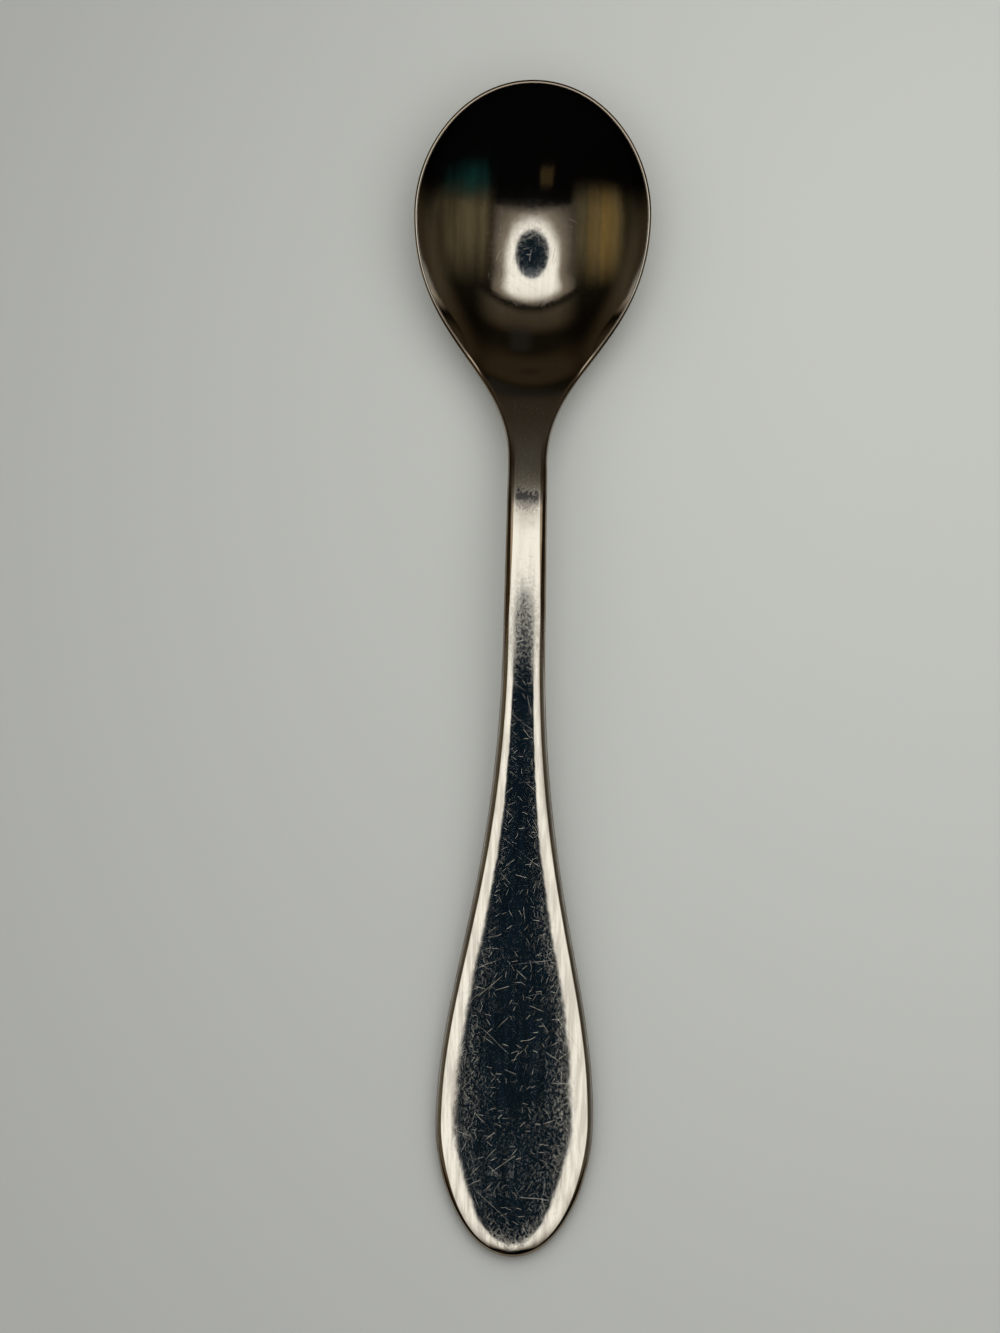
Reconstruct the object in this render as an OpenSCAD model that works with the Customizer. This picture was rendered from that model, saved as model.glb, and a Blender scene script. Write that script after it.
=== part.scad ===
// Soup spoon, blanked, forged and pressed from one piece of steel.
// The tip of the bowl points along +Y and the end of the handle along -Y, with +Z up.
// The origin lies on the table, under the middle of the length. The spoon stands on the
// bottom of its bowl and on the end of its handle.

/* [Overall] */
// Length seen from above, from the tip of the bowl to the end of the handle
length = 170; // [155:1:190]

/* [Bowl] */
// Width over the rim at its widest place
bowl_w = 34.6; // [30:0.2:40]
// Distance from the tip to the widest place of the rim
bowl_at = 19.2; // [17:0.1:23]
// Depth of the hollow below the rim
bowl_depth = 6.6; // [5:0.1:9]
// Distance from the tip to the deepest place of the hollow
deep_at = 24.8; // [20:0.2:28]
// Distance from the tip to where the hollow runs out into the neck
hollow_end = 43.5; // [41:0.5:46]
// Height over which the hollow bends over into the neck
hollow_lip = 3; // [1.5:0.1:5]
// Height over which the back of the bowl bends over into the neck
back_lip = 7; // [3:0.1:8]
// Share of a plain parabola in the hollow, the rest is of the fourth power and fuller
hollow_parabola = 0.92; // [0.5:0.01:1]
// Thickness of the metal at the bottom of the bowl
bowl_wall = 1.1; // [0.8:0.05:1.6]
// Width of the land on top of the rim
rim_land = 0.5; // [0.4:0.05:0.9]
// Fall of the land from its inner to its outer edge
rim_fall = 0.15; // [0.05:0.05:0.3]
// Height of the rim's side below the land's inner edge
rim_side = 0.8; // [0.5:0.05:1.2]

/* [Neck and stem] */
// Distance from the tip to where the bowl's metal starts to thicken
neck_from = 30; // [26:0.5:35]
// Distance from the tip to the narrowest place
neck_at = 56; // [52:0.5:60]
// Width at the narrowest place
neck_w = 5.7; // [4.5:0.1:7]
// Length of the nearly parallel stem
stem_len = 24; // [18:0.5:30]
// Width at the handle end of the stem
stem_w = 6.1; // [4.8:0.1:7.5]
// Thickness of the stem
stem_t = 3; // [2.6:0.1:4]

/* [Handle] */
// Width at the widest place
handle_w = 22.6; // [18:0.2:26]
// Distance from the widest place to the end
handle_nose = 19; // [16:0.2:26]
// Thickness in the middle of the handle
handle_t = 2; // [1.9:0.05:3]
// Angle, in degrees, at which the crowned top meets the rounded edge
crown_angle = 7.7; // [2:0.1:9]
// Width of the rounded edge seen from above
edge_round = 0.85; // [0.5:0.05:1.2]
// Width of the rounded edge at the end of the handle
end_round = 0.55; // [0.3:0.05:1.2]
// Distance from the end over which the edge narrows and the crown flattens
end_ease = 14; // [8:0.5:18]
// Half width at which the crown is half flattened, right at the end
end_crown = 2.5; // [0.5:0.1:5]
// Height of the rounded edge
edge_fall = 0.6; // [0.3:0.05:0.7]
// Height of the rounding along the underside
under_round = 0.4; // [0.2:0.05:0.5]

/* [Side view] */
// Angle, in degrees, at which the rim rises towards the tip
rim_tilt = 8.6; // [4:0.1:12]
// Angle, in degrees, at which the neck rises from the bowl
neck_rise = 13; // [8:0.5:20]
// Angle, in degrees, at which the stem rises on from the neck
stem_rise = 2.5; // [0:0.1:5]
// Distance from the tip to the bend between rim and neck
shoulder_at = 41; // [38:0.5:46]
// Length over which that bend is spread to each side
shoulder_bend = 5; // [3:0.5:9]
// Distance from the tip to the bend between neck and stem
bend_at = 59.4; // [57:0.2:64]
// Length over which that bend is spread to each side
neck_bend = 3.5; // [2:0.5:6]
// Distance from the tip to the bend between stem and handle
crest_at = 75.2; // [70:0.2:84]
// Length over which that bend is spread to each side
crest_bend = 18; // [8:0.5:24]
// Sag of the handle below a straight line from that bend to the end
handle_sag = 1.25; // [0:0.05:2]

/* [Outline roundness] */
// Fullness of the bowl's tip, across and along
nose_pull = [0.597, 0.48]; // [0.4:0.001:0.75]
// Fullness of the curve from bowl to neck, at the bowl and at the neck
shoulder_pull = [0.514, 0.406]; // [0.3:0.001:0.7]
// Fullness of the curve from stem to handle, at the stem and at the handle
flare_pull = [0.532, 0.287]; // [0.15:0.001:0.6]
// Fullness of the handle's end, along and across
end_pull = [0.4, 0.649]; // [0.3:0.001:0.75]

/* [Smoothness] */
// Sections along each curve of the outline
arc_steps = 18; // [8:1:24]
// Points from the middle of the top to its edge
top_steps = 9; // [6:1:14]
// Points round the rounded edge
edge_steps = 4; // [2:1:8]
// Points from the edge to the middle of the underside
under_steps = 9; // [6:1:14]

/* [Hidden] */
steel = [0.66, 0.63, 0.59];
// Power of the underside's rounding, high enough for a flat back
under_power = 10;

// The hollow's middle and half length, and its deepest place as a share of that half length
hollow_mid = (rim_land + hollow_end) / 2;
hollow_half = (hollow_end - rim_land) / 2;
deep_share = (deep_at - hollow_mid) / hollow_half;

// Places along the length, counted from the tip
stem_at = neck_at + stem_len;
handle_at = length - handle_nose;

function mix(a, b, share) = a + (b - a) * share;
// Smooth step from 0 to 1 between two places
function ramp(s, from, to) =
    let (h = max(0, min(1, (s - from) / (to - from))))
    h * h * (3 - 2 * h);
// Minimum and maximum of two values, rounded where they differ by less than k
function soft_min(a, b, k) =
    let (h = max(k - abs(a - b), 0) / k)
    min(a, b) - h * h * h * k / 6;
function soft_max(a, b, k) = -soft_min(-a, -b, k);
// Cubic curve through four points, and its direction
function curve(p, u) =
    let (w = 1 - u)
    w * w * w * p[0] + 3 * w * w * u * p[1] + 3 * w * u * u * p[2] + u * u * u * p[3];
function heading(p, u) =
    let (w = 1 - u)
    w * w * (p[1] - p[0]) + 2 * w * u * (p[2] - p[1]) + u * u * (p[3] - p[2]);

// Right half of the outline seen from above, as [half width, distance from the tip]:
// bowl's nose, shoulder, stem, flare and handle's end
tip = [0, 0];
bowl_side = [bowl_w / 2, bowl_at];
neck_side = [neck_w / 2, neck_at];
stem_side = [stem_w / 2, stem_at];
handle_side = [handle_w / 2, handle_at];
end = [0, length];
along = [0, 1];
across = [1, 0];
arcs = [
    [tip, tip + nose_pull[0] * bowl_side[0] * across, bowl_side - nose_pull[1] * bowl_at * along, bowl_side],
    [bowl_side, bowl_side + shoulder_pull[0] * (neck_at - bowl_at) * along,
     neck_side - shoulder_pull[1] * (neck_at - bowl_at) * along, neck_side],
    [neck_side, mix(neck_side, stem_side, 1 / 3), mix(neck_side, stem_side, 2 / 3), stem_side],
    [stem_side, stem_side + flare_pull[0] * (handle_at - stem_at) * along,
     handle_side - flare_pull[1] * (handle_at - stem_at) * along, handle_side],
    [handle_side, handle_side + end_pull[0] * handle_nose * along, end + end_pull[1] * handle_side[0] * across, end]
];
// Every section as [arc, place on it], each arc's first place being the last of the one before
sections = [
    [0, 0],
    for (arc = [0:len(arcs) - 1]) for (i = [1:arc_steps]) [arc, i / arc_steps]
];
// Point of the outline at a section, moved inwards at right angles by a distance
function inset(section, distance) =
    let (d = heading(arcs[section[0]], section[1]))
    curve(arcs[section[0]], section[1]) + distance * [-d[1], d[0]] / norm(d);

// What changes from bowl to stem, from stem to handle, and near the end
function stem_share(s) = ramp(s, neck_from, neck_at);
function end_share(s) = ramp(s, length - end_ease, length);
function thickness(s) = mix(mix(bowl_wall, stem_t, stem_share(s)), handle_t, ramp(s, stem_at, handle_at));
function edge_width(s) = mix(rim_land, mix(edge_round, end_round, end_share(s)), stem_share(s));
function edge_height(s) = mix(rim_fall, edge_fall, stem_share(s));
// Fullness across the spoon: 0 in the middle, 1 at the edge
function fullness(t, parabola) = parabola * t * t + (1 - parabola) * pow(t, 4);
// Depth along the middle of the hollow, whose deepest place is shifted towards the neck
function hollow(s) =
    let (u = (s - hollow_mid) / hollow_half)
    let (shifted = u - deep_share / (1 - deep_share * deep_share) * (1 - u * u))
    bowl_depth * (fullness(shifted, hollow_parabola) - 1);
// Slope at which the top meets its edge, and height of the crown in the middle
function crown_slope(s) = tan(crown_angle) * ramp(s, neck_at, crest_at);
function crown(s, half_w) =
    crown_slope(s) / 2 * mix(half_w, half_w * half_w / (half_w + end_crown), end_share(s));
// Height of the middle above the edge: the hollow in the bowl, the crown on the handle
function rise(s, half_w, lip) = s < deep_at ? hollow(s) : soft_min(hollow(s), crown(s, half_w), lip);

// Side view of the edge: straight lines of rim, neck and stem and a slack line of the handle,
// with rounded bends. The rim is so high that the back of the bowl just touches the table.
outline_s = [for (section = sections) inset(section, 0)[1]];
rim_z = max([
    for (s = outline_s) if (s < hollow_end) tan(rim_tilt) * (s - deep_at) - rise(s, 0, back_lip) + thickness(s)
]);
function rim_line(s) = rim_z - tan(rim_tilt) * (s - deep_at);
function neck_line(s) = rim_line(shoulder_at) + tan(neck_rise) * (s - shoulder_at);
function stem_line(s) = neck_line(bend_at) + tan(stem_rise) * (s - bend_at);
function handle_line(s) =
    let (share = (s - crest_at) / (length - crest_at))
    mix(stem_line(crest_at), handle_t, share) - 4 * handle_sag * share * (1 - share);
handle_fall = (stem_line(crest_at) - handle_t + 4 * handle_sag) / (length - crest_at);
shoulder_k = shoulder_bend * (tan(neck_rise) + tan(rim_tilt));
bend_k = neck_bend * (tan(neck_rise) - tan(stem_rise));
crest_k = crest_bend * (tan(stem_rise) + handle_fall);
function bent_line(s) = soft_min(soft_min(neck_line(s), stem_line(s), bend_k), handle_line(s), crest_k);
function edge(s) = soft_max(rim_line(s), bent_line(s), shoulder_k);

// Depth of the side below the edge, from a thin rim to the full side of the handle
function side(s, half_w) =
    mix(rim_side, thickness(s) - crown(s, half_w) - under_round, stem_share(s));

// Heights of the top and the underside at a share t of the half width
function top_z(s, half_w, t) =
    edge(s) + rise(s, half_w, hollow_lip) * (1 - fullness(t, mix(hollow_parabola, 1, stem_share(s))));
function under_z(s, half_w, t) =
    let (full = mix(fullness(t, hollow_parabola), pow(t, under_power), stem_share(s)))
    edge(s) + mix(rise(s, half_w, back_lip) - thickness(s), -side(s, half_w), full);

// Half of a section, from the middle of the top round the edge to the middle below
function half_section(section) =
    let (outer = inset(section, 0), width = edge_width(outer[1]), fall = edge_height(outer[1]))
    let (inner = inset(section, width), land_w = inner[0])
    [
        for (i = [0:top_steps]) let (t = i / top_steps) [t * land_w, inner[1], top_z(inner[1], land_w, t)],
        for (i = [1:edge_steps])
            let (a = 90 * i / edge_steps, p = inset(section, width * (1 - sin(a))))
            [p[0], p[1], edge(p[1]) - crown_slope(outer[1]) * width * sin(a) - fall * (1 - cos(a))],
        for (i = [0:under_steps])
            let (t = cos(90 * i / under_steps))
            [t * outer[0], outer[1], under_z(outer[1], land_w, t)]
    ];
halves = [for (section = sections) half_section(section)];

// Corners run right round each section. At tip and end both sides meet, and so do the
// points of the top and those of the underside.
last = len(sections) - 1;
half_n = top_steps + edge_steps + under_steps + 1;
loop_n = 2 * half_n;
tip_n = edge_steps + 2;
function fold(k) = k <= half_n ? k : loop_n - k;
function in_frame(p, sign) = [sign * p[0], length / 2 - p[1], p[2]];
corners = concat(
    [for (k = [0:tip_n - 1]) in_frame(halves[0][top_steps + k], 0)],
    [for (i = [1:last - 1]) for (k = [0:loop_n - 1]) in_frame(halves[i][fold(k)], k <= half_n ? 1 : -1)],
    [for (k = [0:tip_n - 1]) in_frame(halves[last][top_steps + k], 0)]
);
function end_corner(k) = max(0, min(tip_n - 1, fold(k) - top_steps));
function corner(i, k) =
    i == 0 ? end_corner(k % loop_n) :
    i == last ? tip_n + (last - 1) * loop_n + end_corner(k % loop_n) :
    tip_n + (i - 1) * loop_n + k % loop_n;
// Two triangles between neighbouring corners, without those that shrink to a line
faces = [
    for (i = [0:last - 1]) for (k = [0:loop_n - 1])
        let (a = corner(i, k), b = corner(i, k + 1), c = corner(i + 1, k + 1), d = corner(i + 1, k))
        for (f = [[a, b, c], [a, c, d]]) if (f[0] != f[1] && f[1] != f[2] && f[2] != f[0]) f
];

module spoon() {
    color(steel) polyhedron(corners, faces, convexity = 4);
}

spoon();
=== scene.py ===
"""Soup spoon of polished steel on a pale table, in metres, in the frame of its solid model."""

import bmesh
import bpy
import numpy as np
from mathutils import Matrix, Vector


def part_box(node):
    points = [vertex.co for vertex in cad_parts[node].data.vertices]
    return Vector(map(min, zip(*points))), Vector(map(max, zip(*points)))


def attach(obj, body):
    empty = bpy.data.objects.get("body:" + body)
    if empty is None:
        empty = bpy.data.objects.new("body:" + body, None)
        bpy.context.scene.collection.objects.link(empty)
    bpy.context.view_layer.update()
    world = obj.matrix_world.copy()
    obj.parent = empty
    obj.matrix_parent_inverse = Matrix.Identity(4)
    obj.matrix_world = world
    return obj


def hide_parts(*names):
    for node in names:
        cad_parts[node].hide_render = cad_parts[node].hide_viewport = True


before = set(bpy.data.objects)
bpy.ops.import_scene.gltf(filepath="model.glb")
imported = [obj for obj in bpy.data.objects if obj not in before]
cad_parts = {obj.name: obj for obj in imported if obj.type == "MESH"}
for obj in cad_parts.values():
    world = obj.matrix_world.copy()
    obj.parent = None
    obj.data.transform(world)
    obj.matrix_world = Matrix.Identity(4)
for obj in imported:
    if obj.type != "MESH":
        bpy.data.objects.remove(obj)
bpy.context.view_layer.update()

# Spoon: bowl, neck, stem and handle are one piece of steel. It is blanked from thick sheet, the neck and
# stem are forged to their section, the bowl is pressed and the edges are rolled round and polished.
# Nothing is fixed to it: it lies on the bottom of its bowl and on the end of its handle.
low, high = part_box("spoon")
LENGTH = high.y - low.y
# Places along the spoon, counted from the tip of the bowl
BOWL_AT, DEEP_AT, HOLLOW_END, NECK_FROM = 0.0192, 0.0248, 0.0435, 0.030
SHOULDER_AT, NECK_AT, BEND_AT, CREST_AT, STEM_END = 0.041, 0.056, 0.0594, 0.0752, 0.080
SLIM_FROM, SLIM_AT, BROAD_FROM, BROAD_AT = 0.078, 0.086, 0.100, 0.136
HANDLE_AT = LENGTH - 0.0190
# Widths of the outline
BOWL_W, NECK_W, STEM_W, HANDLE_W = high.x - low.x, 0.0057, 0.0061, 0.0226
# Reach of the outline's curves from both of their ends, as shares of the width or length they run along
NOSE_REACH, SHOULDER_REACH = (0.597, 0.48), (0.514, 0.406)
FLARE_REACH, END_REACH = (0.532, 0.287), (0.4, 0.649)
# Thickness of the metal, and the bowl's depth
BOWL_DEPTH, BOWL_WALL, STEM_T, HANDLE_T = 0.0066, 0.0011, 0.003, 0.002
# Share of a parabola in the bowl's section, the rest being of the fourth power
PARABOLA = 0.92
# Slopes of rim, neck, stem and crowned top, the lengths or heights over which bends are eased, and the
# sag of the handle below a straight line
RIM_TILT, NECK_RISE, STEM_RISE, CROWN_ANGLE = np.tan(np.radians([8.6, 13, 2.5, 7.7]))
SHOULDER_BEND, NECK_BEND, CREST_BEND, HANDLE_SAG = 0.005, 0.0035, 0.018, 0.00125
HOLLOW_LIP, BACK_LIP = 0.003, 0.007
# Shares of the crown's angle that the slim handle, the broad handle and its end have
SLIM_CROWN, BROAD_CROWN, END_CROWN = 1.2, 0.91, 1.2
# Rolled edge, on the rim of the bowl and on the handle: width from above, and fall
RIM_LAND, RIM_FALL, RIM_SIDE = 0.0005, 0.00015, 0.0008
EDGE_ROUND, END_ROUND, END_EASE, END_WIDTH = 0.00085, 0.00055, 0.014, 0.0025
EDGE_FALL, UNDER_ROUND, UNDER_POWER = 0.0006, 0.0004, 10
# Grid: sections on each curve of the outline, points across top, edge and underside, and along the rim
ARC_STEPS, TOP_STEPS, EDGE_STEPS, UNDER_STEPS, RIM_STEPS = 64, 36, 12, 28, 400
# Points closer than this are one, and the power by which the mark of a place grows towards the edge
MERGE_GAP, MARK_POWER = 1e-8, 8


def mix(a, b, share):
    """Straight blend from a to b."""
    return a + (b - a) * share


def ramp(s, start, stop):
    """Smooth step from 0 to 1 between two places."""
    h = np.clip((s - start) / (stop - start), 0, 1)
    return h * h * (3 - 2 * h)


def soft_min(a, b, k):
    """Smaller of two values, rounded by a cubic where they differ by less than k."""
    h = np.maximum(k - np.abs(a - b), 0) / k
    return np.minimum(a, b) - h**3 * k / 6


def outline(steps):
    """Right half of the outline seen from above, and its inward normal, as (half width, distance from the
    tip). Five cubic curves follow each other: bowl's nose, shoulder, stem, flare and handle's end."""
    along, across = np.array([0, 1]), np.array([1, 0])
    tip, end = np.array([0, 0]), np.array([0, LENGTH])
    bowl, neck = np.array([BOWL_W / 2, BOWL_AT]), np.array([NECK_W / 2, NECK_AT])
    stem, handle = np.array([STEM_W / 2, STEM_END]), np.array([HANDLE_W / 2, HANDLE_AT])
    shoulder, flare, rounding = NECK_AT - BOWL_AT, HANDLE_AT - STEM_END, LENGTH - HANDLE_AT
    arcs = np.array([
        [tip, NOSE_REACH[0] * bowl[0] * across, bowl - NOSE_REACH[1] * BOWL_AT * along, bowl],
        [bowl, bowl + SHOULDER_REACH[0] * shoulder * along,
         neck - SHOULDER_REACH[1] * shoulder * along, neck],
        [neck, mix(neck, stem, 1 / 3), mix(neck, stem, 2 / 3), stem],
        [stem, stem + FLARE_REACH[0] * flare * along, handle - FLARE_REACH[1] * flare * along, handle],
        [handle, handle + END_REACH[0] * rounding * along, end + END_REACH[1] * handle[0] * across, end],
    ])
    place = np.linspace(0, len(arcs), len(arcs) * steps + 1)
    arc = np.minimum(place.astype(int), len(arcs) - 1)
    u = (place - arc)[:, None]
    p0, p1, p2, p3 = arcs[arc].transpose(1, 0, 2)
    w = 1 - u
    point = w**3 * p0 + 3 * w * w * u * p1 + 3 * w * u * u * p2 + u**3 * p3
    heading = w * w * (p1 - p0) + 2 * w * u * (p2 - p1) + u * u * (p3 - p2)
    heading /= np.linalg.norm(heading, axis=1)[:, None]
    return point, np.stack([-heading[:, 1], heading[:, 0]], 1)


def stem_share(s):
    """0 in the bowl, 1 from the neck on."""
    return ramp(s, NECK_FROM, NECK_AT)


def end_share(s):
    """0 along the handle, 1 at its end."""
    return ramp(s, LENGTH - END_EASE, LENGTH)


def thickness(s):
    """Metal in the middle of a section: thin in the bowl, thickest in the stem, thinner in the handle."""
    return mix(mix(BOWL_WALL, STEM_T, stem_share(s)), HANDLE_T, ramp(s, STEM_END, HANDLE_AT))


def fullness(t, parabola):
    """0 in the middle and 1 at the edge: a parabola with a share of a fourth power."""
    return parabola * t**2 + (1 - parabola) * t**4


def crown_share(s):
    """Share of the crown's angle: whole up to the crest, more on the slim handle, less on the broad one,
    and more again at its end, with smooth steps between them."""
    slim = mix(1, SLIM_CROWN, ramp(s, SLIM_FROM, SLIM_AT))
    broad = mix(slim, BROAD_CROWN, ramp(s, BROAD_FROM, BROAD_AT))
    return mix(broad, END_CROWN, ramp(s, HANDLE_AT, LENGTH))


def crown_slope(s):
    """Slope at which the crowned top meets its rolled edge: none in the bowl and neck."""
    return CROWN_ANGLE * ramp(s, NECK_AT, CREST_AT) * crown_share(s)


def crown(s, half_w):
    """Height of the crowned top's middle above its edge: half the slope times the half width, and less near
    the end, where the half width counts by its share of itself and a fixed width."""
    return crown_slope(s) / 2 * mix(half_w, half_w**2 / (half_w + END_WIDTH), end_share(s))


def hollow(s):
    """Depth along the middle of the bowl, below its rim: the fullness of u - shift (1 - u^2), where u runs
    from -1 at the tip to 1 at the neck and the shift puts the deepest place nearer to the neck."""
    middle, half = (RIM_LAND + HOLLOW_END) / 2, (HOLLOW_END - RIM_LAND) / 2
    off = (DEEP_AT - middle) / half
    u = (s - middle) / half
    return BOWL_DEPTH * (fullness(u - off / (1 - off**2) * (1 - u**2), PARABOLA) - 1)


def rise(s, half_w, lip):
    """Height of a section's middle above its edge: the bowl's hollow, eased over a lip into the crown."""
    return np.where(s < DEEP_AT, hollow(s), soft_min(hollow(s), crown(s, half_w), lip))


def edge_line(s):
    """Side view of the edge: straight lines of rim, neck and stem and a slack line of the handle, with
    rounded bends between them. The rim is so high that the back of the bowl just touches the table."""
    bowl_s = np.linspace(RIM_LAND, HOLLOW_END, RIM_STEPS)
    rim_z = np.max(RIM_TILT * (bowl_s - DEEP_AT) - rise(bowl_s, 0, BACK_LIP) + thickness(bowl_s))
    rim = rim_z - RIM_TILT * (s - DEEP_AT)
    shoulder_z = rim_z - RIM_TILT * (SHOULDER_AT - DEEP_AT)
    neck = shoulder_z + NECK_RISE * (s - SHOULDER_AT)
    bend_z = shoulder_z + NECK_RISE * (BEND_AT - SHOULDER_AT)
    stem = bend_z + STEM_RISE * (s - BEND_AT)
    crest_z = bend_z + STEM_RISE * (CREST_AT - BEND_AT)
    share = (s - CREST_AT) / (LENGTH - CREST_AT)
    handle = mix(crest_z, HANDLE_T, share) - 4 * HANDLE_SAG * share * (1 - share)
    fall = (crest_z - HANDLE_T + 4 * HANDLE_SAG) / (LENGTH - CREST_AT)
    bent = soft_min(neck, stem, NECK_BEND * (NECK_RISE - STEM_RISE))
    bent = soft_min(bent, handle, CREST_BEND * (STEM_RISE + fall))
    return -soft_min(-rim, -bent, SHOULDER_BEND * (NECK_RISE + RIM_TILT))


def half_sections():
    """Half of every section, from the middle of the top round the edge to the middle of the underside, as
    arrays of half width, distance from the tip and height, and a mark: on the top a high power of the place
    across times the crown's share, 1 to 2 on the edge, 2 to 3 below. Top and underside follow the fullness,
    and the edge is a quarter of an ellipse."""
    point, inward = outline(ARC_STEPS)
    outer_s = point[:, 1:]
    share = stem_share(outer_s)
    width = mix(RIM_LAND, mix(EDGE_ROUND, END_ROUND, end_share(outer_s)), share)
    fall = mix(RIM_FALL, EDGE_FALL, share)
    inner = point + width * inward
    land, s = inner[:, :1], inner[:, 1:]

    t = np.sin(np.linspace(0, np.pi / 2, TOP_STEPS + 1))
    full = fullness(t, mix(PARABOLA, 1, stem_share(s)))
    z = edge_line(s) + rise(s, land, HOLLOW_LIP) * (1 - full)
    top = [t * land, s + 0 * t, z, np.minimum(t * crown_share(s), 1)**MARK_POWER]

    a = np.linspace(0, np.pi / 2, EDGE_STEPS + 1)[1:]
    inset = width * (1 - np.sin(a))
    x, s = point[:, :1] + inset * inward[:, :1], outer_s + inset * inward[:, 1:]
    z = edge_line(s) - crown_slope(outer_s) * (width - inset) - fall * (1 - np.cos(a))
    edge = [x, s, z, 1 + np.sin(a) + 0 * inset]

    t = np.cos(np.linspace(0, np.pi / 2, UNDER_STEPS + 1))
    side = mix(RIM_SIDE, thickness(outer_s) - crown(outer_s, land) - UNDER_ROUND, share)
    full = mix(fullness(t, PARABOLA), t**UNDER_POWER, share)
    z = edge_line(outer_s) + mix(rise(outer_s, land, BACK_LIP) - thickness(outer_s), -side, full)
    under = [t * point[:, :1], outer_s + 0 * t, z, 3 - t**MARK_POWER + 0 * outer_s]
    return [np.hstack(parts) for parts in zip(top, edge, under)]


def closed_surface(name, x, s, z, edge):
    """Both halves joined into one loop a section, and the loops joined along the spoon. Points that meet on
    the middle line at the tip and at the end are merged."""
    loop = np.concatenate([np.arange(x.shape[1]), np.arange(x.shape[1] - 2, 0, -1)])
    sign = np.where(np.arange(len(loop)) < x.shape[1], 1, -1)
    points = np.stack([sign * x[:, loop], LENGTH / 2 - s[:, loop], z[:, loop]], 2).reshape(-1, 3)
    index = np.arange(len(points)).reshape(len(x), len(loop))
    after = np.roll(index, -1, 1)
    faces = np.stack([index[:-1], index[1:], after[1:], after[:-1]], 2).reshape(-1, 4)
    mesh = bpy.data.meshes.new(name)
    mesh.from_pydata(points.tolist(), [], faces.tolist())
    mesh.attributes.new("edge", "FLOAT", "POINT").data.foreach_set("value", edge[:, loop].ravel())
    shape = bmesh.new()
    shape.from_mesh(mesh)
    bmesh.ops.remove_doubles(shape, verts=shape.verts, dist=MERGE_GAP)
    bmesh.ops.recalc_face_normals(shape, faces=shape.faces)
    shape.to_mesh(mesh)
    shape.free()
    mesh.shade_smooth()
    made = bpy.data.objects.new(name, mesh)
    bpy.context.scene.collection.objects.link(made)
    return made


# The spoon's steel. Its places are distances along Y from the spoon's middle, towards the tip of the bowl.
# Colours of the clean and the dull metal, and of the painted dark reflections: brown, and a bluish dark
CLEAN, DULL = (0.71, 0.70, 0.665, 1), (0.51, 0.495, 0.465, 1)
PAINTED_DARK_BROWN, PAINTED_DARK_BAND = (0.22, 0.165, 0.11, 1), (0.10, 0.10, 0.115, 1)
# Five sizes of scratch: the cell that holds one, its length and its width
SCRATCHES = ((0.0010, 0.0013, 0.00004), (0.0023, 0.0030, 0.00005), (0.0058, 0.0080, 0.00005),
             (0.0130, 0.0190, 0.00006), (0.0210, 0.0310, 0.00007))
# How far scratches are bent, how deep they are, and how deep the wave of the polished surface is
SCRATCH_BEND, SCRATCH_DEPTH, WAVE_DEPTH = 0.0016, 0.000004, 0.000022
# Roughness of the polished handle and bowl, and what scratches, satin neck and worn edge add to it
HANDLE_ROUGH, BOWL_ROUGH, SCRATCH_ROUGH, NECK_ROUGH, WORN_ROUGH = 0.045, 0.065, 0.17, 0.21, 0.36


def put(tree, kind, inputs=(), out=0, **settings):
    """Adds a node with its settings and its inputs, by place or by name, and returns one of its outputs."""
    made = tree.nodes.new(kind)
    for name, value in settings.items():
        setattr(made, name, value)
    for key, value in inputs.items() if isinstance(inputs, dict) else enumerate(inputs):
        if isinstance(value, bpy.types.NodeSocket):
            tree.links.new(value, made.inputs[key])
        else:
            made.inputs[key].default_value = value
    return made.outputs[out]


def sums(tree, operation, first, *others):
    """One operation carried out over two or more numbers or sockets."""
    for other in others:
        first = put(tree, "ShaderNodeMath", [first, other], operation=operation)
    return first


def product(tree, *factors):
    """Product of two or more numbers or sockets."""
    return sums(tree, "MULTIPLY", *factors)


def vectors(tree, operation, a, b, out="Vector"):
    """One operation on two vectors."""
    return put(tree, "ShaderNodeVectorMath", [a, b], out=out, operation=operation)


def step(tree, value, start, stop, low_value=0.0, high_value=1.0):
    """Smooth step of a value from start to stop."""
    return put(tree, "ShaderNodeMapRange", [value, start, stop, low_value, high_value],
               interpolation_type="SMOOTHSTEP")


def between(tree, value, start, stop, ease):
    """1 from start to stop, eased to 0 outside."""
    return product(tree, step(tree, value, start - ease, start), step(tree, value, stop + ease, stop))


def blend(tree, share, a, b):
    """Colour between a and b."""
    return put(tree, "ShaderNodeMix", {0: share, 6: a, 7: b}, out=2, data_type="RGBA")


def noise(tree, coords, scale, detail, squeeze=1.0, roughness=0.5):
    """Noise from 0 to 1, drawn out along the spoon where its coordinate there is squeezed."""
    return put(tree, "ShaderNodeTexNoise", {
        "Vector": vectors(tree, "MULTIPLY", coords, (1, squeeze, 1)),
        "Scale": scale, "Detail": detail, "Roughness": roughness})


def scratches(tree, coords, cell, length, width):
    """Short straight scratches, one in each cell, each turned its own way and of its own strength: up to 1
    on the scratch, 0 beside it."""
    cells = put(tree, "ShaderNodeTexVoronoi", {"Vector": coords, "Scale": 1 / cell},
                voronoi_dimensions="2D").node.outputs
    local = vectors(tree, "SUBTRACT", coords, cells["Position"])
    tone = put(tree, "ShaderNodeSeparateColor", [cells["Color"]]).node.outputs
    angle = product(tree, tone[0], 2 * np.pi)
    turned = put(tree, "ShaderNodeVectorRotate", {"Vector": local, "Angle": angle}, rotation_type="Z_AXIS")
    parts = put(tree, "ShaderNodeSeparateXYZ", [turned]).node.outputs
    across = step(tree, sums(tree, "ABSOLUTE", parts["Y"], 0.0), width / 2, 0.0)
    along = step(tree, sums(tree, "ABSOLUTE", parts["X"], 0.0), length / 2, length / 5)
    return product(tree, across, along, sums(tree, "POWER", tone[1], 2.5))


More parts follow.
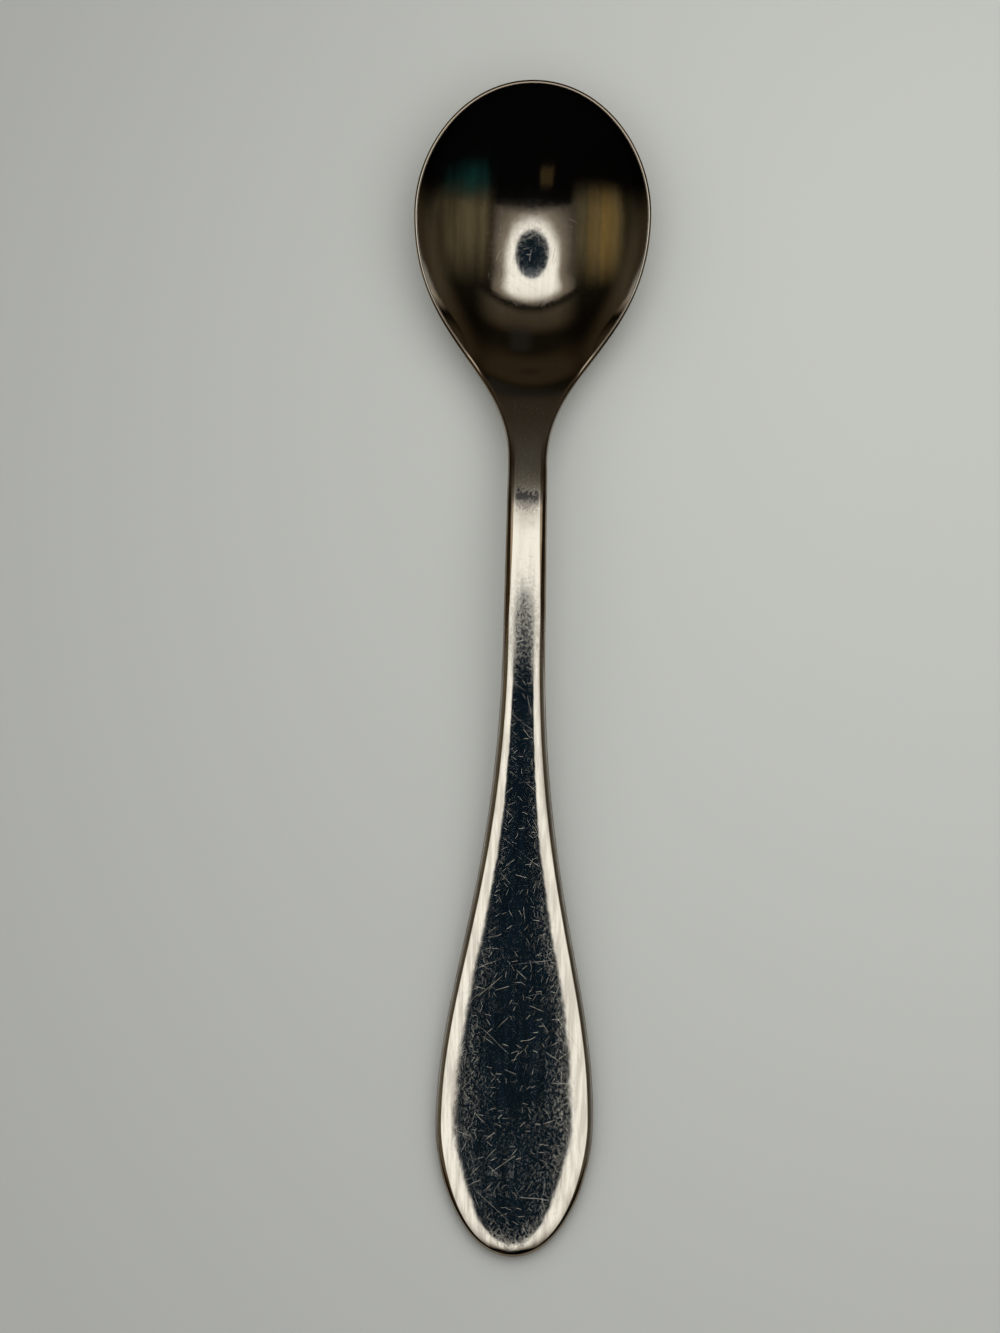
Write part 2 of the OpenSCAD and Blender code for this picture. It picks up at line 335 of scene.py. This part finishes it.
def rubbed_share(tree, place, edge):
    """How much a place is rubbed in use: most in the middle of the handle's top and on its underside, less
    on the bottom of the bowl, and little on the neck and beside the edges."""
    bottom = product(tree, between(tree, place, 0.0545, 0.0660, 0.006), 0.7)
    used = sums(tree, "MAXIMUM", step(tree, place, 0.024, 0.006, 0.30, 1.0), bottom)
    above, below = step(tree, edge, 0.055, 0.004, 0.15, 1.0), step(tree, edge, 2.1, 2.6, 0.15, 1.0)
    return product(tree, used, sums(tree, "MAXIMUM", above, below))


def scratch_marks(tree, coords, rubbed):
    """Scratches of every size, slightly bent, as strong as the place is rubbed."""
    bent = put(tree, "ShaderNodeTexNoise", {"Vector": coords, "Scale": 110.0, "Detail": 1.0}, out="Color")
    wavy = vectors(tree, "ADD", coords, vectors(tree, "MULTIPLY", bent, (SCRATCH_BEND,) * 3))
    marks = sums(tree, "MAXIMUM", *(scratches(tree, wavy, *sizes) for sizes in SCRATCHES))
    return product(tree, marks, rubbed)


def relief(tree, coords, place, grain, marks, rubbed):
    """Normal of the surface: a slight wave of the polish, with scratches and fine pits sunk into it."""
    pitted = sums(tree, "ADD", grain, step(tree, place, -0.045, -0.078, 0.0, 0.04))
    pits = product(tree, step(tree, pitted, 0.52, 0.74, 0.0, 0.26), rubbed)
    wave = put(tree, "ShaderNodeBump", {
        "Strength": 1.0, "Distance": WAVE_DEPTH, "Height": noise(tree, coords, 170.0, 3.0)})
    return put(tree, "ShaderNodeBump", {
        "Strength": 1.0, "Distance": SCRATCH_DEPTH, "Height": sums(tree, "MAXIMUM", marks, pits),
        "Normal": wave}, invert=True)


def gloss(tree, place, edge, cloud, grain, marks, rubbed):
    """Roughness, a sum: low on polished steel, more on scratches and on the mottle of rubbed places, and
    satin on the neck, on the crest of the stem and on the handle's worn edge."""
    polished = step(tree, place, 0.035, 0.046, HANDLE_ROUGH, BOWL_ROUGH)
    scratched = product(tree, marks, SCRATCH_ROUGH)
    mottle = product(tree, step(tree, grain, 0.36, 0.68), step(tree, cloud, 0.35, 0.65, 0.065, 0.115),
                     step(tree, place, -0.050, -0.078, 0.78, 1.25), rubbed)
    neck = product(tree, step(tree, place, 0.043, 0.037), step(tree, place, 0.0215, 0.0250), NECK_ROUGH)
    crest = product(tree, step(tree, place, -0.006, 0.004), step(tree, place, 0.018, 0.008),
                    step(tree, grain, 0.30, 0.62, 0.05, 0.15))
    worn = product(tree, step(tree, edge, 1.25, 1.45), step(tree, edge, 2.2, 1.9),
                   step(tree, place, -0.078, -0.068), step(tree, place, 0.012, -0.010, 0.0, WORN_ROUGH))
    return sums(tree, "ADD", polished, scratched, mottle, neck, crest, worn)


def painted_dark_reflection_share(tree, place, edge, cloud):
    """Share of the painted brown dark reflection: cloudy along the rolled edge, and inside the rim, at the
    tip and in the throat of the bowl."""
    outer = sums(tree, "SUBTRACT", edge, step(tree, place, -0.005, 0.018, 1.80, 0.5))
    outer = sums(tree, "ADD", outer, step(tree, place, -0.066, -0.078, 0.0, 0.75))
    rolled = product(tree, step(tree, outer, 0.0, 0.09), step(tree, edge, 2.7, 2.1),
                     step(tree, cloud, 0.35, 0.65, 0.7, 0.95), step(tree, place, 0.045, 0.030, 0.3, 1.0))
    inside = product(tree, step(tree, edge, 0.30, 0.75), step(tree, edge, 0.999, 0.97),
                     step(tree, place, 0.036, 0.046, 0.0, 0.65))
    tip = product(tree, step(tree, edge, 0.90, 0.99), step(tree, place, 0.058, 0.078, 0.0, 0.75))
    throat = product(tree, step(tree, place, 0.0580, 0.0490), step(tree, place, 0.026, 0.037, 0.0, 0.80))
    return sums(tree, "MAXIMUM", rolled, inside, tip, throat)


def painted_dark_band_share(tree, place, edge, cloud, grain):
    """Share of the painted dark reflection that runs as a band across the bend of the stem, thin on its
    handle side, with ragged borders, and weaker beside the edges."""
    ragged = sums(tree, "ADD", place, step(tree, cloud, 0.3, 0.7, -0.0005, 0.0005),
                  step(tree, grain, 0.3, 0.7, -0.0005, 0.0005))
    thin = product(tree, step(tree, ragged, 0.0218, 0.0229, 0.0, 0.55), step(tree, ragged, 0.0253, 0.0244))
    thick = product(tree, between(tree, ragged, 0.0237, 0.0243, 0.0006), 0.4)
    return product(tree, sums(tree, "ADD", thin, thick), step(tree, edge, 0.40, 0.01, 0.2, 1.0))


def steel():
    """Polished steel: clean metal with dull brushed streaks, most of them on the handle, under a painted
    brown dark reflection and a painted dark band, with its scratched relief and its roughness."""
    material = bpy.data.materials.new("polished_steel")
    material.use_nodes = True
    tree = material.node_tree
    coords = put(tree, "ShaderNodeTexCoord", out="Object")
    place = put(tree, "ShaderNodeSeparateXYZ", [coords], out="Y")
    edge = put(tree, "ShaderNodeAttribute", out="Fac", attribute_name="edge")
    cloud = noise(tree, coords, 160.0, 6.0)
    grain = noise(tree, coords, 3000.0, 3.0, squeeze=0.7, roughness=0.6)
    brush = noise(tree, coords, 1500.0, 3.0, squeeze=0.06)
    rubbed = rubbed_share(tree, place, edge)
    marks = scratch_marks(tree, coords, rubbed)

    streaks = product(tree, step(tree, brush, 0.65, 0.35), step(tree, place, 0.035, -0.040, 0.2, 1.0))
    colour = blend(tree, streaks, CLEAN, DULL)
    # Painted dark reflections: brown along the rolled edge, inside the rim, at the tip and in the throat,
    # and a dark band across the bend of the stem
    colour = blend(tree, painted_dark_reflection_share(tree, place, edge, cloud), colour, PAINTED_DARK_BROWN)
    colour = blend(tree, painted_dark_band_share(tree, place, edge, cloud, grain), colour, PAINTED_DARK_BAND)
    shader = tree.nodes["Principled BSDF"].inputs
    shader["Metallic"].default_value = 1.0
    tree.links.new(colour, shader["Base Color"])
    tree.links.new(gloss(tree, place, edge, cloud, grain, marks, rubbed), shader["Roughness"])
    tree.links.new(relief(tree, coords, place, grain, marks, rubbed), shader["Normal"])
    return material


spoon = closed_surface("soup_spoon", *half_sections())
spoon.data.materials.append(steel())
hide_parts("spoon")
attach(spoon, "root")

# Table: a plain top that is painted in a matt, slightly greenish pale grey. It is far larger than the view,
# and the spoon lies loose on it.
TABLE_HALF = 3.0
TABLE_COLOUR, TABLE_ROUGH = (0.61, 0.62, 0.58, 1), 0.8
table_mesh = bpy.data.meshes.new("table")
corners = [(-TABLE_HALF, -TABLE_HALF, 0), (TABLE_HALF, -TABLE_HALF, 0),
           (TABLE_HALF, TABLE_HALF, 0), (-TABLE_HALF, TABLE_HALF, 0)]
table_mesh.from_pydata(corners, [], [(0, 1, 2, 3)])
table = bpy.data.objects.new("table", table_mesh)
bpy.context.scene.collection.objects.link(table)
table_paint = bpy.data.materials.new("pale_table")
table_paint.use_nodes = True
table_shader = table_paint.node_tree.nodes["Principled BSDF"]
table_shader.inputs["Base Color"].default_value = TABLE_COLOUR
table_shader.inputs["Roughness"].default_value = TABLE_ROUGH
table_mesh.materials.append(table_paint)

# Camera: it looks down on the spoon, leaning a little towards the end of the handle, and the spoon leans
# to the right in the picture by the camera's roll. The spoon's middle lies right of the picture's centre.
VIEW_TILT, VIEW_ROLL = np.radians([7, 1.188])
VIEW_DISTANCE, VIEW_LENS, VIEW_SENSOR = 0.6, 112.35, 36.0
VIEW_AIM = Vector((-0.0034, -0.0006, 0.007))
level_up = Vector((0, np.cos(VIEW_TILT), np.sin(VIEW_TILT)))
back = Vector((0, -np.sin(VIEW_TILT), np.cos(VIEW_TILT)))
right = np.cos(VIEW_ROLL) * Vector((1, 0, 0)) + np.sin(VIEW_ROLL) * level_up
up = back.cross(right)
camera = bpy.data.objects.new("camera", bpy.data.cameras.new("camera"))
camera.data.lens = VIEW_LENS
camera.data.sensor_width = VIEW_SENSOR
turn = Matrix((right, up, back)).transposed().to_4x4()
camera.matrix_world = Matrix.Translation(VIEW_AIM + VIEW_DISTANCE * back) @ turn
bpy.context.scene.collection.objects.link(camera)
bpy.context.scene.camera = camera

# Studio light: a wide even light from beyond the bowl and a little from the left, and a soft round lamp low
# over the table on the right. They light the table and don't show in the steel, which mirrors the room.
LIGHT_WAY = Vector((0.27, -0.34, -0.90))
LIGHT_SPREAD, LIGHT_POWER = np.radians(90), 0.85
LAMP_AT, LAMP_SIZE, LAMP_POWER = Vector((0.075, 0.05, 0.16)), 0.26, 0.165
even = bpy.data.objects.new("even_light", bpy.data.lights.new("even_light", "SUN"))
even.data.angle = LIGHT_SPREAD
even.data.energy = LIGHT_POWER
lamp = bpy.data.objects.new("lamp", bpy.data.lights.new("lamp", "AREA"))
lamp.data.shape = "DISK"
lamp.data.size = LAMP_SIZE
lamp.data.energy = LAMP_POWER
lamp.location = LAMP_AT
for light in (even, lamp):
    light.rotation_mode = "QUATERNION"
    light.rotation_quaternion = LIGHT_WAY.to_track_quat("-Z", "Y")
    light.visible_glossy = False
    light.visible_camera = False
    bpy.context.scene.collection.objects.link(light)

# Room round the table: polished steel shows little but its surroundings, so the world holds a lamp panel
# overhead, walls and a pale horizon for it to mirror. All that isn't a mirror sees an even grey instead.
EVEN_GREY = (0.27, 0.27, 0.27, 1)
NIGHT, DIM, CORNER = (0.0008, 0.0008, 0.0008, 1), (0.007, 0.0055, 0.003, 1), (0.030, 0.022, 0.012, 1)
END_HIGH, END_LOW, WINDOW = (0.098, 0.079, 0.050, 1), (0.017, 0.014, 0.009, 1), (0.050, 0.051, 0.051, 1)
WALL_DARK, WALL_PALE, GILT = (0.035, 0.026, 0.012, 1), (0.140, 0.110, 0.058, 1), (0.22, 0.135, 0.036, 1)
TEAL, SHELF = (0.005, 0.032, 0.027, 1), (0.038, 0.025, 0.010, 1)
PANEL_EDGE, PANEL_MIDDLE, GLOW = (0.056, 0.046, 0.034, 1), (0.275, 0.222, 0.165, 1), (1.25, 1.19, 1.07, 1)
DISC_DARK, DISC_PALE = (0.005, 0.0115, 0.018, 1), (0.13, 0.15, 0.165, 1)
DUSK, HORIZON = (0.062, 0.048, 0.027, 1), (0.48, 0.47, 0.44, 1)
# Half width and half height of the dark disc, and the middle of the glow round it
DISC_W, DISC_H, GLOW_AT = 0.107, 0.091, (0.0, 0.05, 0.0)


def lean(tree, way, axis):
    """How far a direction leans towards an axis: their dot product."""
    return vectors(tree, "DOT_PRODUCT", way, tuple(axis), out="Value")


def room_ends(tree, x, v, wide, arched):
    """Ends of the room: black behind the handle, and dim beyond the bowl, with a brown wall there that is
    lighter high up, brown corners far to both sides, and a small grey window."""
    room = blend(tree, step(tree, v, 0.0, 0.2), NIGHT, DIM)
    corner = product(tree, step(tree, sums(tree, "ABSOLUTE", x, 0.0), 0.62, 0.85),
                     between(tree, v, -0.1, 0.5, 0.2))
    room = blend(tree, corner, room, CORNER)
    wall = product(tree, step(tree, arched, 0.235, 0.29), between(tree, wide, -0.14, 0.18, 0.20))
    room = blend(tree, wall, room, blend(tree, step(tree, v, 0.33, 0.45), END_HIGH, END_LOW))
    window = product(tree, between(tree, wide, 0.04, 0.09, 0.08), between(tree, v, 0.42, 0.55, 0.13), 0.55)
    return blend(tree, window, room, WINDOW)


def room_sides(tree, room, x, v, wide, level, streaks):
    """Streaked brown walls on both sides, with gilt strips on the left, a teal patch on the right, and a
    small shelf behind the handle."""
    aside = sums(tree, "ABSOLUTE", wide, 0.0)
    shade = step(tree, streaks, 0.33, 0.66)
    height = product(tree, step(tree, level, -0.235, -0.13), step(tree, level, 0.17, -0.08))
    walls = product(tree, step(tree, aside, 0.72, 0.45), step(tree, aside, 0.22, 0.31), height)
    room = blend(tree, walls, room, blend(tree, shade, WALL_DARK, WALL_PALE))
    strip = product(tree, step(tree, wide, -0.420, -0.440), step(tree, wide, -0.60, -0.43))
    thin_strip = product(tree, between(tree, wide, -0.400, -0.365, 0.03), 0.5)
    gilt = product(tree, sums(tree, "MAXIMUM", strip, thin_strip),
                   step(tree, streaks, 0.33, 0.66, 0.65, 1.0), height)
    room = blend(tree, gilt, room, GILT)
    teal = product(tree, between(tree, wide, 0.34, 0.50, 0.12), between(tree, level, -0.225, -0.21, 0.06),
                   shade)
    room = blend(tree, teal, room, TEAL)
    shelf = product(tree, between(tree, x, -0.09, -0.04, 0.01), between(tree, v, -0.245, -0.215, 0.012))
    return blend(tree, shelf, room, SHELF)


def room_lamp(tree, room, x, v, wide, arched, streaks):
    """Lamp panel straight above: pale in its middle, with a white glow, wider towards the bowl, round a
    small dark disc that is paler on that side."""
    panel = product(tree, step(tree, v, -0.160, -0.135), step(tree, arched, 0.225, 0.205),
                    between(tree, wide, -0.250, 0.225, 0.05))
    flared = product(tree, x, step(tree, v, 0.06, 0.18, 1.0, 0.66))
    at = put(tree, "ShaderNodeCombineXYZ", [flared, v, 0.0])
    from_glow = vectors(tree, "DISTANCE", at, GLOW_AT, out="Value")
    uneven = product(tree, sums(tree, "SUBTRACT", streaks, 0.5), 0.03)
    from_glow = sums(tree, "ADD", from_glow, uneven)
    panel_tone = blend(tree, step(tree, from_glow, 0.29, 0.16), PANEL_EDGE, PANEL_MIDDLE)
    room = blend(tree, panel, room, panel_tone)
    glow = product(tree, step(tree, from_glow, 0.200, 0.145), step(tree, arched, 0.218, 0.162), panel)
    room = blend(tree, glow, room, GLOW)
    oval_x, oval_v = sums(tree, "DIVIDE", x, DISC_W), sums(tree, "DIVIDE", v, DISC_H)
    oval = put(tree, "ShaderNodeCombineXYZ", [oval_x, oval_v, 0.0])
    disc = step(tree, vectors(tree, "DISTANCE", oval, (0, 0, 0), out="Value"), 1.04, 0.95)
    return blend(tree, disc, room, blend(tree, step(tree, v, 0.03, 0.10), DISC_DARK, DISC_PALE))


def room_horizon(tree, room, x, v, height):
    """Pale horizon all round, lower at the sides, with a dim band above it on the bowl's side."""
    far_out = sums(tree, "ABSOLUTE", x, 0.0)
    lifted = product(tree, step(tree, far_out, 0.25, 0.60), step(tree, far_out, 0.92, 0.80, 0.0, 0.20))
    above = sums(tree, "ADD", height, product(tree, v, 0.22), lifted)
    dusk = product(tree, step(tree, above, 0.72, 0.44), step(tree, v, -0.15, 0.10))
    room = blend(tree, dusk, room, DUSK)
    return blend(tree, step(tree, above, 0.36, 0.20), room, HORIZON)


def studio(world):
    """Room as a world. A direction in it has an x, to the right, and a v, towards the bowl: the slopes of a
    mirror that shows it to the camera. Walls go by x over v + 1, arches and levels by v and a share of x^2.
    Camera, glossy and transmission rays see the room, and all other rays see the grey."""
    world.use_nodes = True
    tree = world.node_tree
    way = put(tree, "ShaderNodeTexCoord", out="Generated")
    spread = sums(tree, "MAXIMUM", sums(tree, "ADD", lean(tree, way, back), 1.0), 0.3)
    x = sums(tree, "DIVIDE", lean(tree, way, (1, 0, 0)), spread)
    v = sums(tree, "DIVIDE", lean(tree, way, level_up), spread)
    wide = sums(tree, "DIVIDE", x, sums(tree, "ADD", v, 1.0))
    square = product(tree, x, x)
    arched = sums(tree, "ADD", v, product(tree, square, 0.4))
    level = sums(tree, "SUBTRACT", v, product(tree, square, 0.3))
    on_wall = put(tree, "ShaderNodeCombineXYZ", [wide, v, 0.0])
    streaks = noise(tree, on_wall, 9.0, 6.0, squeeze=0.07, roughness=0.68)

    room = room_ends(tree, x, v, wide, arched)
    room = room_sides(tree, room, x, v, wide, level, streaks)
    room = room_lamp(tree, room, x, v, wide, arched, streaks)
    room = room_horizon(tree, room, x, v, lean(tree, way, (0, 0, 1)))
    rays = put(tree, "ShaderNodeLightPath").node.outputs
    kinds = ("Is Camera Ray", "Is Glossy Ray", "Is Transmission Ray")
    direct = sums(tree, "MAXIMUM", *(rays[kind] for kind in kinds))
    tree.links.new(blend(tree, direct, EVEN_GREY, room), tree.nodes["Background"].inputs["Color"])


room_world = bpy.data.worlds.new("studio")
studio(room_world)
bpy.context.scene.world = room_world
bpy.context.scene.view_settings.view_transform = "Standard"
